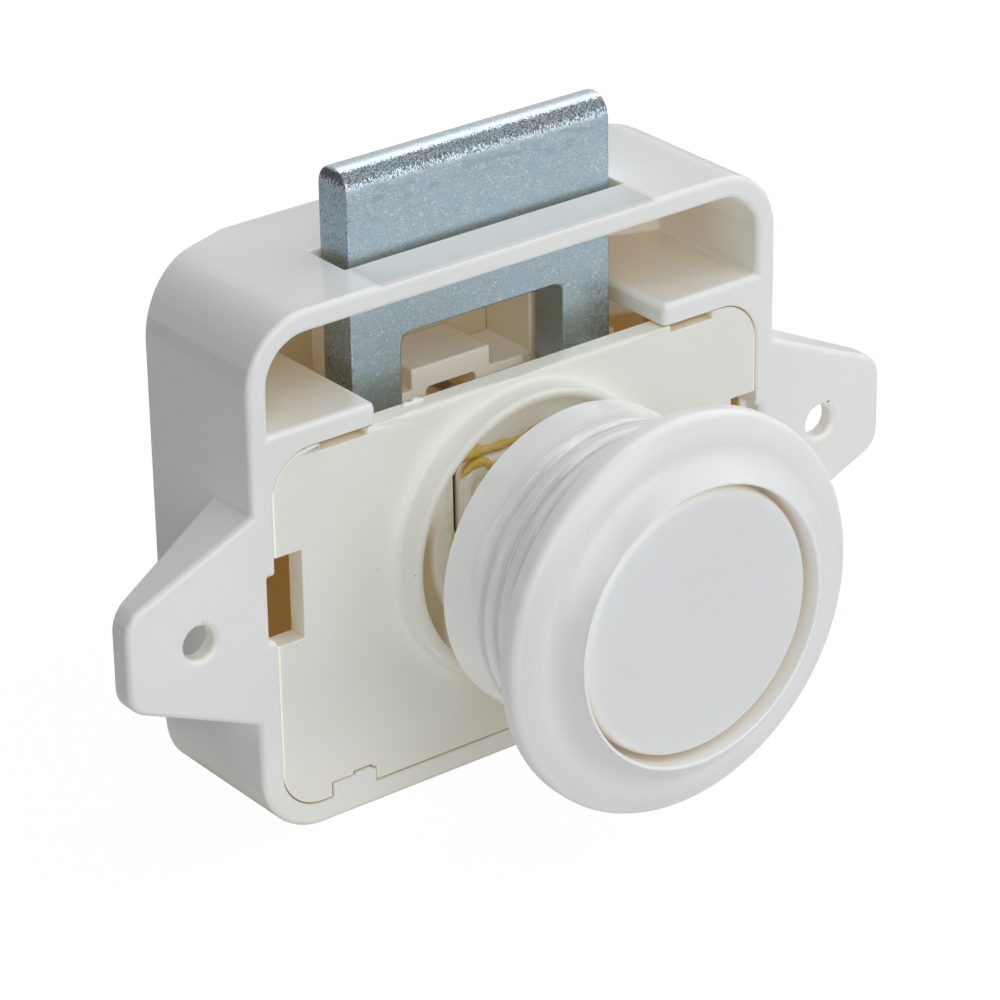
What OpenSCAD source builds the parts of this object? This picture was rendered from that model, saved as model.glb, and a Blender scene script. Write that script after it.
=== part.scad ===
// Push button cabinet lock: a moulded case with two screw ears, a forked steel bolt,
// a sprung cam slider and a round push button in a rosette. Millimetres.
// The door lies between the case front (y = 0) and the back of the rosette.
// The origin is on the button axis, midway between the two screw holes.
// X runs along the case, Y into the cabinet, Z the way the bolt is thrown.
// Drawn locked: button pushed in, bolt out.

/* [Case] */
// Width of the case without its ears
case_w = 50; // [46:0.5:60]
// Top of the case above the button axis
case_top = 23.6; // [22:0.1:28]
// Bottom of the case below the button axis
case_bottom = 18.8; // [17:0.1:24]
// Radius of the case's four outer corners
case_corner_r = 5.4; // [3:0.1:8]
// Wall of the case
case_wall = 1.8; // [1.2:0.1:2.4]
// Depth of the case at its two sides
case_depth = 13.2; // [12:0.1:16]
// Depth of the flat middle of the back
hump_depth = 16.6; // [16:0.1:20]
// Width of the flat middle of the back, from which it slopes to the sides
hump_w = 31; // [29:0.1:36]
// Height of the shelf tops above the button axis
shelf_top = 14.6; // [13.5:0.1:16]
// Gap between the two shelves
shelf_gap = 27.4; // [26.5:0.1:30]

/* [Ears] */
// Distance between the two screw holes
ear_hole_spacing = 60; // [58:0.5:72]
// Diameter of the screw holes
ear_hole_d = 2.7; // [2:0.1:4]
// From the hole's centre to the tip of the ear
ear_tip_margin = 6.3; // [4:0.1:9]
// Height of the ear where it leaves the case
ear_root_h = 17.2; // [14:0.1:24]
// Height at which the slanted edges reach the tip
ear_tip_h = 7.5; // [6:0.1:12]
// Radius of the tip's corners
ear_tip_r = 2.2; // [1:0.1:3]
// Depth of the ear's edge ribs at the case
ear_root_t = 5; // [3:0.1:7]
// Depth of the ear's edge rib at its tip
ear_tip_t = 2; // [1.7:0.1:3]
// Thickness of the ear's front plate
ear_plate_t = 1.5; // [1.2:0.1:1.6]

/* [Cover] */
// Thickness of the cover plate
cover_t = 1.8; // [1.4:0.1:2.2]
// How far the cover lies behind the case front
cover_recess = 0.15; // [0.1:0.05:0.5]
// Gap between the cover and the case
cover_gap = 0.1; // [0.08:0.01:0.3]
// How far the collar stays inside the barrel's outer size
collar_step = 0.45; // [0.2:0.05:1]
// Wall of the collar
collar_wall = 0.9; // [0.7:0.1:1.5]
// Height of the collar over the cover
collar_h = 2.1; // [1.2:0.1:3.5]
// Radius of the fillet at the foot of the collar
collar_fillet = 0.6; // [0.2:0.1:0.7]
// Width of the two side cut-outs
cutout_w = 2.4; // [1.5:0.1:3.5]
// Height of the two side cut-outs
cutout_h = 7.3; // [4:0.1:9]
// Middle of the side cut-outs above the button axis
cutout_z = 1; // [-2:0.1:3]
// Width of the catches that hold the cover
catch_w = 4; // [2:0.1:5]
// Middle of each catch from the middle of the case
catch_x = 16.6; // [16:0.1:17.5]
// Height of the catches on the bottom wall
catch_h = 1.2; // [0.6:0.1:1.6]
// Height of the catches under the shelves
shelf_catch_h = 0.6; // [0.3:0.05:0.8]

/* [Bolt] */
// Width of the bolt
bolt_w = 24.6; // [22:0.1:25.4]
// Thickness of the bolt
bolt_t = 3.6; // [2.6:0.1:3.9]
// Front face of the bolt behind the case front
bolt_setback = 4.9; // [4.6:0.1:5.2]
// How far the locked bolt stands out of the case
bolt_out = 7.1; // [6:0.1:7.5]
// Travel of the bolt and of the button
throw = 7; // [5:0.1:7]
// Height of the bolt's cross bar
bar_h = 14.1; // [12.5:0.1:14.6]
// Width of each leg of the bolt
leg_w = 4.6; // [4:0.1:5]
// Radius in the corners of the bolt's window
window_r = 1; // [0.5:0.1:2]
// Height of the hooks at the foot of the legs
hook_h = 2.4; // [1.6:0.1:2.8]
// Reach of the hooks into the cam grooves
hook_reach = 1.7; // [1:0.1:1.9]
// Middle of the hooks above the button axis
hook_z = 3.4; // [2.8:0.1:3.6]
// Side play of the bolt in the top slot
slot_play = 0.8; // [0.5:0.05:1]

/* [Slider] */
// Width of the cam slider
slider_w = 12.6; // [12:0.1:13.4]
// Height of the cam slider
slider_h = 14.4; // [13.6:0.1:15]
// How far the button can be pressed past its catch
over_press = 0.8; // [0.4:0.1:1]
// Running clearance of the sliding pieces
slide_gap = 0.4; // [0.25:0.05:0.5]
// Radius of the slider's long edges
slider_edge_r = 1; // [0.5:0.1:2]
// Rim round the recess in the slider's front
slider_rim = 1.35; // [1:0.05:2]
// Depth of the heart shaped track
track_depth = 1.3; // [0.8:0.1:1.6]
// Diameter of the catch wire
wire_d = 1; // [0.8:0.05:1.1]
// Outer diameter of the two springs
spring_d = 3; // [2.4:0.1:3.1]
// Diameter of the spring wire
spring_wire_d = 0.45; // [0.35:0.05:0.5]
// Turns of each spring
spring_turns = 7; // [5:1:8]

/* [Button] */
// Radius of the cap's front edge
button_edge_r = 1; // [0.5:0.1:1.4]
// Wall of the cap's skirt
cap_wall = 0.5; // [0.4:0.05:0.8]
// Thickness of the cap's face
cap_face_t = 1.5; // [1:0.1:2]
// Cap face behind the lip of the rosette
button_sink = 0.65; // [0.2:0.05:1.2]
// Thickness of the flat stem
stem_t = 3.5; // [2.5:0.1:3.8]
// Width of the flat stem
stem_w = 10.4; // [8:0.1:10.8]

/* [Rosette] */
// Thickness of the door between case and rosette
door_t = 17.2; // [16:0.1:19]
// How far the rosette covers the door round the barrel
rosette_cover = 3.5; // [3:0.1:8]
// Height of the rosette's rim band
rosette_rim = 1; // [0.4:0.1:1.2]
// Radius of the rosette's outer edge
rosette_edge_r = 0.8; // [0.4:0.1:1]
// Height of the rosette's lip over the door
rosette_h = 4; // [3.8:0.1:5.5]
// Outer diameter of the barrel
barrel_d = 24.8; // [24.6:0.1:27]
// Distance from the case front to the barrel's rear end
barrel_rear = 5.8; // [4:0.1:6.4]
// Wall of the barrel
barrel_wall = 0.8; // [0.6:0.05:0.9]
// Step at the barrel's front that stops the button
stop_step = 0.55; // [0.45:0.05:0.8]
// Depth of the barrel's soft ring grooves
groove_depth = 0.15; // [0.1:0.05:0.35]
// Gap round the button in the rosette
button_gap = 0.4; // [0.3:0.05:0.6]

/* [Hidden] */
$fn = 64;

// Overlap by which joined shapes run into each other
lap = 0.6;
// Distance by which cuts run past a face
past = 1;
// Gap between pieces that are pushed together and never move
seat_gap = 0.05;
// Gap between the shapes of pieces that move past each other
free_gap = 0.3;
// Thickness of the inner ribs and rails
rib_t = 1.4;
// Thickness of the rib along the edges of the ears
ear_rib = 1.2;
// How far the bolt's rails and the cover's ribs stay below the shelves
rail_drop = 2.2;

// Inside of the case
in_x = case_w / 2 - case_wall;
in_top = case_top - case_wall;
in_bottom = -case_bottom + case_wall;
in_back = hump_depth - case_wall;
shelf_t = case_wall;
shelf_x = shelf_gap / 2;
shelf_low = shelf_top - shelf_t;
ear_tip_x = ear_hole_spacing / 2 + ear_tip_margin;

// Cover
cover_y = cover_recess + cover_t;
cover_x = in_x - cover_gap;
cover_low = in_bottom + cover_gap;
cover_top = shelf_low - cover_gap;
in_corner_r = case_corner_r - case_wall;
post_r = 1.6;
post_inset = 2.4;
nub_w = 1.6;
nub_h = 0.25;
nub_inset = 0.4;
catch_sink = 0.9;
bay_depth = 0.55;
bay_top_inset = 1.4;
bay_low_inset = 0.6;
collar_r = barrel_d / 2 - collar_step - collar_wall;
collar_front = cover_recess - collar_h;

// Bolt
bolt_back = bolt_setback + bolt_t;
bolt_mid = bolt_setback + bolt_t / 2;
nose_z = case_top + bolt_out;
window_top = nose_z - bar_h;
window_x = bolt_w / 2 - leg_w;
hook_x = slider_w / 2 - hook_reach;
leg_foot = hook_z - hook_h / 2;
leg_end = leg_foot - throw;
slot_x = bolt_w / 2 + slot_play;
slot_front_gap = 0.6;
rail_x = bolt_w / 2 + free_gap;

// Slider
slider_front = cover_recess + seat_gap;
slider_back = in_back - over_press - slide_gap;
slider_top = slider_h / 2;
opening_x = slider_w / 2 + slide_gap;
opening_z = slider_top + slide_gap;
hook_play = 0.3;
socket_gap = 0.15;
socket_depth = 4.2;
socket_floor = slider_front + socket_depth;
mouth_depth = 1.6;
mouth_r = 1;
bore_web = 1.4;

// Heart track and the wire that runs in it
wire_r = wire_d / 2;
lane = wire_r + 0.2;
track_floor = slider_top - track_depth;
track_half = 2.7;
follower_y = 5.2;
wire_z = opening_z + free_gap + wire_r;
ledge_y = bolt_back + 2 * free_gap;
ledge_top = wire_z + wire_d;
block_x = 3.8;
block_slot_x = 2.35;
block_slot_r = 0.4;
block_slot_top = wire_z + wire_r + free_gap;
block_cap_t = 1.9;
block_top = block_slot_top + block_cap_t;
anchor_y = in_back - 1.8;

// Springs
spring_x = 2.1;
spring_z = -2.6;
spring_r = spring_d / 2;
bore_r = spring_r + 0.25;
bore_floor = socket_floor + bore_web;
coil_r = spring_r - spring_wire_d / 2;
peg_r = spring_r - spring_wire_d - 0.2;
peg_len = 1.5;

// Button and rosette
barrel_r = barrel_d / 2;
bore_in_r = barrel_r - barrel_wall;
throat_r = bore_in_r - stop_step;
rosette_r = barrel_r + rosette_cover;
barrel_seat = 1.1;
barrel_front = -door_t - barrel_seat;
lip_y = -door_t - rosette_h;
cap_y = lip_y + button_sink;
cap_r = throat_r - button_gap;
sleeve_r = cap_r - cap_wall - seat_gap;
sleeve_wall = 1.3;
sleeve_in_r = sleeve_r - sleeve_wall;
rim_r = bore_in_r - free_gap;
rim_t = 1.2;
rim_y = barrel_front + throw + free_gap;
sleeve_front = cap_y + cap_face_t + seat_gap;
web_t = 1.6;
screw_r = 1.1;
screw_head_r = 2.6;
screw_head_t = 0.9;
screw_len = 9;
web_y = sleeve_front + screw_head_t + free_gap;
stem_front = web_y + web_t;
stem_rear = socket_floor - seat_gap;
stem_edge_r = 0.6;

// Solid with an X-Z outline between two depths
module along_y(y0, y1) {
    translate([0, y1, 0]) rotate([90, 0, 0]) linear_extrude(y1 - y0) children();
}

// Solid with a Y-Z outline between two sides
module along_x(x0, x1) {
    translate([x0, 0, 0]) rotate([90, 0, 90]) linear_extrude(x1 - x0) children();
}

// Solid with an X-Y outline between two heights
module along_z(z0, z1) {
    translate([0, 0, z0]) linear_extrude(z1 - z0) children();
}

// Body of revolution about the button axis; the outline holds radius and depth
module turned() {
    rotate([-90, 0, 0]) rotate_extrude($fn = 96) children();
}

// Round bar along Y
module bar_y(x, z, y0, y1, r) {
    translate([x, y0, z]) rotate([-90, 0, 0]) cylinder(h = y1 - y0, r = r);
}

// Rectangle given by its corners
module box_2d(x0, x1, z0, z1) {
    translate([x0, z0]) square([x1 - x0, z1 - z0]);
}

// Rectangle with four round corners
module rounded_rect(x0, x1, z0, z1, r) {
    box_2d(x0 + r, x1 - r, z0, z1);
    box_2d(x0, x1, z0 + r, z1 - r);
    for (x = [x0 + r, x1 - r]) {
        for (z = [z0 + r, z1 - r]) {
            translate([x, z]) circle(r);
        }
    }
}

// The same shape on both sides of the middle
module both_sides() {
    children();
    mirror([1, 0, 0]) children();
}

// Case outline from the front, moved in by a wall
module case_outline(inset) {
    rounded_rect(-case_w / 2 + inset, case_w / 2 - inset, -case_bottom + inset, case_top - inset,
        case_corner_r - inset);
}

// Case outline from above, with the back that slopes to both sides, moved in by a wall
module case_plan(inset, front) {
    side = case_w / 2;
    flat = hump_w / 2;
    // The outline runs past the sides on the same slope
    rise = (hump_depth - case_depth) / (side - flat);
    polygon([[-side - past, front], [side + past, front], [side + past, case_depth - inset - past * rise],
        [flat, hump_depth - inset], [-flat, hump_depth - inset],
        [-side - past, case_depth - inset - past * rise]]);
}

// Room that the inner ribs may fill: the inside of the case, run a little into its walls
module inner_room() {
    intersection() {
        along_y(0, hump_depth) case_outline(case_wall - lap);
        along_z(-case_bottom, case_top) case_plan(case_wall - lap, 0);
        children();
    }
}

// Outline of the screw ear on the +X side, moved in by a rib
module ear_outline(inset) {
    root_x = case_w / 2;
    drop = (ear_root_h - ear_tip_h) / 2;
    slope = atan(drop / (ear_tip_x - root_x));
    root_z = ear_root_h / 2 - inset / cos(slope);
    tip_x = ear_tip_x - inset;
    corner_r = ear_tip_r - inset;
    // Centre of the corner's circle, which touches the slanted edge and the tip
    corner_x = tip_x - corner_r;
    corner_z = root_z - (corner_x - root_x) * tan(slope) - corner_r / cos(slope);
    // The slanted edge ends just inside the circle
    touch_r = corner_r - seat_gap / 10;
    touch_x = corner_x + touch_r * sin(slope);
    touch_z = corner_z + touch_r * cos(slope);
    polygon([[root_x - lap, root_z], [root_x, root_z], [touch_x, touch_z], [tip_x, corner_z],
        [tip_x, -corner_z], [touch_x, -touch_z], [root_x, -root_z], [root_x - lap, -root_z]]);
    for (z = [-corner_z, corner_z]) {
        translate([corner_x, z]) circle(corner_r);
    }
}

// Screw ear on the +X side: a plate with a tapered rib along its edges, open at the back
module ear() {
    root_x = case_w / 2;
    difference() {
        intersection() {
            along_y(0, ear_root_t) ear_outline(0);
            along_z(-ear_root_h, ear_root_h) {
                polygon([[root_x - lap, 0], [ear_tip_x + past, 0], [ear_tip_x + past, ear_tip_t],
                    [ear_tip_x, ear_tip_t], [root_x, ear_root_t], [root_x - lap, ear_root_t]]);
            }
        }
        along_y(ear_plate_t, ear_root_t + past) ear_outline(ear_rib);
        bar_y(ear_hole_spacing / 2, 0, -past, ear_root_t + past, ear_hole_d / 2);
    }
}

// Lug with a narrower nub on the bottom wall of the +X side, that holds the cover
module bottom_catch(gap) {
    left = catch_x - catch_w / 2;
    box_2d(left - gap, left + catch_w + gap, in_bottom - lap, in_bottom + catch_h + gap);
    box_2d(left + nub_inset - gap, left + nub_inset + nub_w + gap, in_bottom,
        in_bottom + catch_h + nub_h + gap);
}

// Plain lug under the shelf of the +X side
module shelf_catch(gap) {
    left = catch_x - catch_w / 2;
    box_2d(left - gap, left + catch_w + gap, shelf_low - shelf_catch_h - gap, shelf_low + lap);
}

// Ledge behind the bolt, with the slotted block that holds the catch wire and two tall ribs beside it
module wire_ledge() {
    difference() {
        inner_room() {
            along_y(ledge_y, hump_depth) {
                box_2d(-rail_x - lap, rail_x + lap, opening_z, ledge_top);
                box_2d(-block_x, block_x, opening_z, block_top);
                for (x = [-window_x - rib_t, window_x]) {
                    translate([x, opening_z]) square([rib_t, case_top - opening_z]);
                }
            }
        }
        along_y(ledge_y - past, anchor_y + wire_d) {
            rounded_rect(-block_slot_x, block_slot_x, 0, block_slot_top, block_slot_r);
        }
        along_z(wire_z, block_top - 2 * free_gap) translate([0, anchor_y]) circle(wire_r + seat_gap);
    }
}

// Shelf, catches, cover posts, bolt rail and spring peg of the +X side
module case_ribs() {
    along_y(0, hump_depth) box_2d(shelf_x, case_w / 2, shelf_low, shelf_top);
    // Round corner between the shelf and the side wall
    along_y(0, hump_depth) difference() {
        box_2d(in_x - in_corner_r, case_w / 2, shelf_low - in_corner_r, shelf_top);
        translate([in_x - in_corner_r, shelf_low - in_corner_r]) circle(in_corner_r);
        box_2d(0, in_x - in_corner_r, 0, shelf_low);
        box_2d(0, in_x, 0, shelf_low - in_corner_r);
    }
    along_y(0, cover_y) bottom_catch(0);
    along_y(cover_recess + catch_sink, cover_y) shelf_catch(0);
    along_y(bolt_setback + rib_t, hump_depth) {
        box_2d(rail_x, rail_x + rib_t, leg_end - rib_t, shelf_low - rail_drop);
    }
    for (z = [in_bottom + post_inset, cover_top - post_inset]) {
        bar_y(in_x - post_inset, z, cover_y, hump_depth, post_r);
    }
    bar_y(spring_x, spring_z, in_back - peg_len, hump_depth, peg_r);
}

module case() {
    color("whitesmoke") {
        difference() {
            intersection() {
                along_y(0, hump_depth) case_outline(0);
                along_z(-case_bottom, case_top) case_plan(0, 0);
            }
            intersection() {
                along_y(-past, hump_depth) case_outline(case_wall);
                along_z(-case_bottom, case_top) case_plan(case_wall, -past);
            }
            // Slot for the bolt
            along_z(in_top - past, case_top + past) {
                box_2d(-slot_x, slot_x, bolt_setback - slot_front_gap, bolt_back + free_gap);
            }
            // Shallow bays in the side walls next to the cover's cut-outs
            along_y(-past, cover_y) {
                box_2d(-in_x - bay_depth, in_x + bay_depth, cutout_z - cutout_h / 2 + bay_low_inset,
                    cutout_z + cutout_h / 2 - bay_top_inset);
            }
        }
        both_sides() ear();
        inner_room() both_sides() case_ribs();
        // Rest under the slider
        inner_room() along_y(bolt_setback, hump_depth) {
            box_2d(-slider_w / 2, slider_w / 2, -opening_z - rib_t, -opening_z);
        }
        wire_ledge();
    }
}

// Outline of the cover with its side cut-outs, the notches for the catches and the slider's opening
module cover_outline() {
    difference() {
        rounded_rect(-cover_x, cover_x, cover_low, cover_top, in_corner_r - cover_gap);
        both_sides() {
            box_2d(cover_x - cutout_w, case_w, cutout_z - cutout_h / 2, cutout_z + cutout_h / 2);
            bottom_catch(cover_gap);
            shelf_catch(cover_gap);
        }
        box_2d(-opening_x, opening_x, -opening_z, opening_z);
    }
}

module cover_plate() {
    round_r = collar_wall / 2;
    out_r = collar_r + collar_wall;
    rib_x = bolt_w / 2 - 2 * free_gap - rib_t;
    color("ivory") {
        along_y(cover_recess, cover_y) cover_outline();
        turned() {
            box_2d(collar_r, out_r, collar_front + round_r, cover_recess + lap);
            translate([collar_r + round_r, collar_front + round_r]) circle(round_r);
            difference() {
                box_2d(out_r - lap, out_r + collar_fillet, cover_recess - collar_fillet,
                    cover_recess + lap);
                translate([out_r + collar_fillet, cover_recess - collar_fillet]) circle(collar_fillet);
            }
        }
        // Ribs that keep the bolt's legs back
        both_sides() along_y(cover_y - lap, bolt_setback - free_gap) {
            box_2d(rib_x, rib_x + rib_t, leg_end, cover_top - rail_drop);
        }
    }
}

module bolt() {
    color("slategray") intersection() {
        along_y(bolt_setback, bolt_back) {
            difference() {
                box_2d(-bolt_w / 2, bolt_w / 2, leg_foot, nose_z);
                rounded_rect(-window_x, window_x, leg_foot - window_top, window_top, window_r);
            }
            for (x = [-window_x - lap, hook_x]) {
                translate([x, leg_foot]) square([window_x - hook_x + lap, hook_h]);
            }
        }
        along_x(-bolt_w / 2, bolt_w / 2) {
            box_2d(bolt_setback, bolt_back, leg_foot, nose_z - bolt_t / 2);
            translate([bolt_mid, nose_z - bolt_t / 2]) circle(bolt_t / 2);
        }
    }
}

// Path of a hook through the slider: the hook with its play, carried along a 45 degree line
module cam_groove() {
    a = bolt_t / 2 + hook_play;
    b = hook_h / 2 + hook_play;
    polygon([[-over_press - a, over_press + b], [-over_press - a, over_press - b],
        [throw - a, -throw - b], [throw + a, -throw - b],
        [throw + a, -throw + b], [-over_press + a, over_press + b]]);
}

// Heart shaped track: one lane on each side of an island with a notch for the wire
module heart_track() {
    front_y = follower_y - over_press;
    end_y = follower_y + throw;
    turn_y = (follower_y + end_y) / 2;
    side = track_half - lane;
    lobe = side - lane;
    lobe_y = follower_y + 2 * lane;
    notch_y = follower_y + lane + free_gap / 2;
    difference() {
        union() {
            polygon([[-track_half, front_y], [track_half, front_y], [track_half, turn_y],
                [lane, end_y], [-lane, end_y], [-track_half, turn_y]]);
            translate([0, end_y]) circle(lane);
            box_2d(-side, side, front_y - lane, front_y + lane);
            for (x = [-side, side]) {
                translate([x, front_y]) circle(lane);
            }
        }
        polygon([[0, notch_y], [lobe / 2, lobe_y], [lobe, lobe_y], [lobe, turn_y], [0, end_y - 3 * lane],
            [-lobe, turn_y], [-lobe, lobe_y], [-lobe / 2, lobe_y]]);
        for (x = [-lobe / 2, lobe / 2]) {
            translate([x, lobe_y]) circle(lobe / 2);
        }
    }
}

module cam_slider() {
    socket_x = stem_t / 2 + socket_gap;
    socket_z = stem_w / 2 + socket_gap;
    mouth_x = slider_w / 2 - slider_rim;
    color("white") difference() {
        along_y(slider_front, slider_back) {
            rounded_rect(-slider_w / 2, slider_w / 2, -slider_top, slider_top, slider_edge_r);
        }
        both_sides() along_x(hook_x - slide_gap, slider_w) {
            translate([bolt_mid, hook_z]) cam_groove();
        }
        // Socket for the stem and the recess round its mouth
        along_y(slider_front - past, socket_floor) box_2d(-socket_x, socket_x, -socket_z, socket_z);
        along_y(slider_front - past, slider_front + mouth_depth) {
            rounded_rect(-mouth_x, mouth_x, -socket_z - socket_gap, socket_z + socket_gap, mouth_r);
        }
        both_sides() bar_y(spring_x, spring_z, bore_floor, slider_back + past, bore_r);
        along_z(track_floor, slider_top + past) heart_track();
    }
}

// Quarter bend of the catch wire, which starts at a point and turns from Y into Z
module wire_bend(y, z, turn) {
    translate([0, y, z]) rotate([90, turn, 90]) {
        rotate_extrude(angle = 90) translate([wire_d, 0]) circle(wire_r, $fn = 24);
    }
}

module catch_wire() {
    bend = wire_d;
    tip_z = track_floor + free_gap;
    foot_z = block_top - 3 * free_gap;
    color("silver") {
        along_z(wire_z + bend, foot_z) translate([0, anchor_y]) circle(wire_r);
        wire_bend(anchor_y - bend, wire_z + bend, 90);
        bar_y(0, wire_z, follower_y + bend, anchor_y - bend, wire_r);
        wire_bend(follower_y + bend, wire_z - bend, -90);
        along_z(tip_z, wire_z - bend) translate([0, follower_y]) circle(wire_r);
    }
}

// Helical compression spring between two depths: one tube swept along a helix
module coil_spring(x, y0, y1) {
    per_turn = 8;
    rings = per_turn * spring_turns;
    sides = 6;
    r = spring_wire_d / 2;
    // Rise of the helix, from wire middle to wire middle
    rise = y1 - y0 - spring_wire_d;
    lead = atan(rise / (spring_turns * 2 * PI * coil_r));
    middles = [for (i = [0:rings]) let (a = 360 * i / per_turn)
        [coil_r * cos(a), y0 + r + rise * i / rings, coil_r * sin(a)]];
    // Each ring of points lies across the helix
    points = [for (i = [0:rings]) for (k = [0:sides - 1])
        let (a = 360 * i / per_turn, out = r * cos(360 * k / sides), up = r * sin(360 * k / sides))
        middles[i] + [out * cos(a) + up * sin(lead) * sin(a), up * cos(lead),
            out * sin(a) - up * sin(lead) * cos(a)]];
    skin = [for (i = [0:rings - 1]) for (k = [0:sides - 1])
        let (n = (k + 1) % sides, p = i * sides + k, q = i * sides + n)
        each [[p, p + sides, q], [q, p + sides, q + sides]]];
    ends = [[for (k = [0:sides - 1]) k], [for (k = [sides - 1:-1:0]) rings * sides + k]];
    least_gap = min([for (i = [0:rings - per_turn]) for (j = [i + per_turn / 2:rings])
        norm(middles[i] - middles[j])]) - spring_wire_d;
    echo(least_spring_gap = least_gap);
    translate([x, 0, spring_z]) polyhedron(points, concat(skin, ends));
}

module slider_spring_left() {
    color("lightgray") coil_spring(-spring_x, bore_floor, in_back);
}

module slider_spring_right() {
    color("lightgray") coil_spring(spring_x, bore_floor, in_back);
}

module stem() {
    color("white") difference() {
        along_y(stem_front, stem_rear) {
            rounded_rect(-stem_t / 2, stem_t / 2, -stem_w / 2, stem_w / 2, stem_edge_r);
        }
        bar_y(0, 0, stem_front - past, stem_front + screw_len, screw_r);
    }
}

module stem_screw() {
    recess_w = 0.5;
    color("silver") difference() {
        union() {
            bar_y(0, 0, web_y - seat_gap, stem_front + screw_len - lap, screw_r - seat_gap / 2);
            bar_y(0, 0, web_y - screw_head_t, web_y, screw_head_r);
        }
        // Cross recess
        for (turn = [0, 90]) {
            rotate([0, turn, 0]) along_y(web_y - screw_head_t - past, web_y - screw_head_t / 2) {
                box_2d(-screw_r, screw_r, -recess_w / 2, recess_w / 2);
            }
        }
    }
}

module button_sleeve() {
    color("white") turned() {
        box_2d(sleeve_in_r, sleeve_r, sleeve_front, rim_y + rim_t);
        box_2d(sleeve_in_r, rim_r, rim_y, rim_y + rim_t);
        box_2d(screw_r + free_gap, sleeve_r, web_y, web_y + web_t);
    }
}

module button_cap() {
    edge_y = cap_y + button_edge_r;
    skirt_end = rim_y - seat_gap;
    color("white") turned() {
        difference() {
            union() {
                box_2d(0, cap_r - button_edge_r, cap_y, edge_y + past);
                box_2d(0, cap_r, edge_y, skirt_end);
                translate([cap_r - button_edge_r, edge_y]) circle(button_edge_r);
            }
            box_2d(-past, cap_r - cap_wall, cap_y + cap_face_t, skirt_end + past);
        }
    }
}

// Sleeve through the door, plain at the rear, with soft ring grooves in front of that
module barrel() {
    plain_len = 3.85;
    wave_len = 1.7;
    waves = 3;
    wave_y = -barrel_rear - plain_len - waves * wave_len;
    steps = 10 * waves;
    chamfer = 0.3;
    color("white") turned() {
        polygon(concat(
            [[bore_in_r, barrel_front + seat_gap], [barrel_r, barrel_front + seat_gap]],
            [for (i = [0:steps]) [barrel_r - groove_depth * (1 - cos(360 * waves * i / steps)) / 2,
                wave_y + waves * wave_len * i / steps]],
            [[barrel_r, -barrel_rear - chamfer], [barrel_r - chamfer, -barrel_rear],
                [bore_in_r, -barrel_rear]]));
    }
}

// Ring with a rounded outer edge, a crowned face and a hollow sweep up to a thin lip round the button
module rosette() {
    steps = 12;
    edge_turn = 65;
    face_rise = 0.8;
    lip_round = 0.35;
    lip_turn = 25;
    lip_foot = 1.6;
    rear_edge = 0.2;
    edge_h = rosette_rim + rosette_edge_r * sin(edge_turn);
    edge_r = rosette_r - rosette_edge_r * (1 - cos(edge_turn));
    valley_r = throat_r + lip_foot;
    valley_h = edge_h + face_rise;
    lip_r = throat_r + lip_round;
    lip_h = rosette_h - lip_round;
    // Where the hollow sweep runs into the lip
    sweep_run = valley_r - lip_r - lip_round * cos(lip_turn);
    sweep_rise = lip_h + lip_round * sin(lip_turn) - valley_h;
    socket_r = barrel_r + seat_gap;
    color("white") turned() {
        polygon(concat(
            [[throat_r, barrel_front], [socket_r, barrel_front], [socket_r, -door_t],
                [rosette_r - rear_edge, -door_t], [rosette_r, -door_t - rear_edge]],
            [for (i = [0:steps - 1]) let (a = edge_turn * i / steps)
                [rosette_r - rosette_edge_r * (1 - cos(a)),
                    -door_t - rosette_rim - rosette_edge_r * sin(a)]],
            [for (i = [0:steps - 1]) [edge_r - (edge_r - valley_r) * i / steps,
                -door_t - edge_h - face_rise * sin(90 * i / steps)]],
            [for (i = [0:steps - 1]) [valley_r - sweep_run * i / steps,
                -door_t - valley_h - sweep_rise * (1 - cos(90 * i / steps))]],
            [for (i = [0:steps]) let (a = lip_turn + (180 - lip_turn) * i / steps)
                [lip_r + lip_round * cos(a), -door_t - lip_h - lip_round * sin(a)]]));
    }
}

case();
cover_plate();
bolt();
cam_slider();
catch_wire();
slider_spring_left();
slider_spring_right();
stem();
stem_screw();
button_sleeve();
button_cap();
barrel();
rosette();
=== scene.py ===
"""Looks of the push button cabinet lock, laid out as an add-on and run as a script."""

import math

import bmesh
import bpy
import numpy as np
from bpy.props import FloatProperty, FloatVectorProperty, PointerProperty
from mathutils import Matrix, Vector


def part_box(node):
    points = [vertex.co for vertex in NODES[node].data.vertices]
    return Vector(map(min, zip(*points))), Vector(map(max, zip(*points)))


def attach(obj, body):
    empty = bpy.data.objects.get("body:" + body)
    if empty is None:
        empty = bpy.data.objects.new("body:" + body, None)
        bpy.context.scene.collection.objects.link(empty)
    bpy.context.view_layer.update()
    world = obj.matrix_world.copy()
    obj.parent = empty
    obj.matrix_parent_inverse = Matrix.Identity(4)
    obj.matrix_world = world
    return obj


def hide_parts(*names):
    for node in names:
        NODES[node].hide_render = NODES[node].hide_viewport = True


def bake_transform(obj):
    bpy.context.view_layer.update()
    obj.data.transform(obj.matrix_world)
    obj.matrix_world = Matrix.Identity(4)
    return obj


bl_info = {
    "name": "Push button cabinet lock",
    "version": (1, 0, 0),
    "blender": (4, 5, 0),
    "location": "View3D > Sidebar > Lock",
    "description": "Dresses the packed lock with moulded, plated and greased surfaces",
    "category": "Object",
}

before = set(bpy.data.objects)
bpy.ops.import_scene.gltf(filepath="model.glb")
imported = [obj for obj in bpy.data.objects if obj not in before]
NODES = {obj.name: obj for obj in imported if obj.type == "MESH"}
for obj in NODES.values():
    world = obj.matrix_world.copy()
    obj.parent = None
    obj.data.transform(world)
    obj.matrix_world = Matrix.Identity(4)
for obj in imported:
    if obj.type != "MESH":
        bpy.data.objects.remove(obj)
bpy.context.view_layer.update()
MM = 0.001

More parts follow.
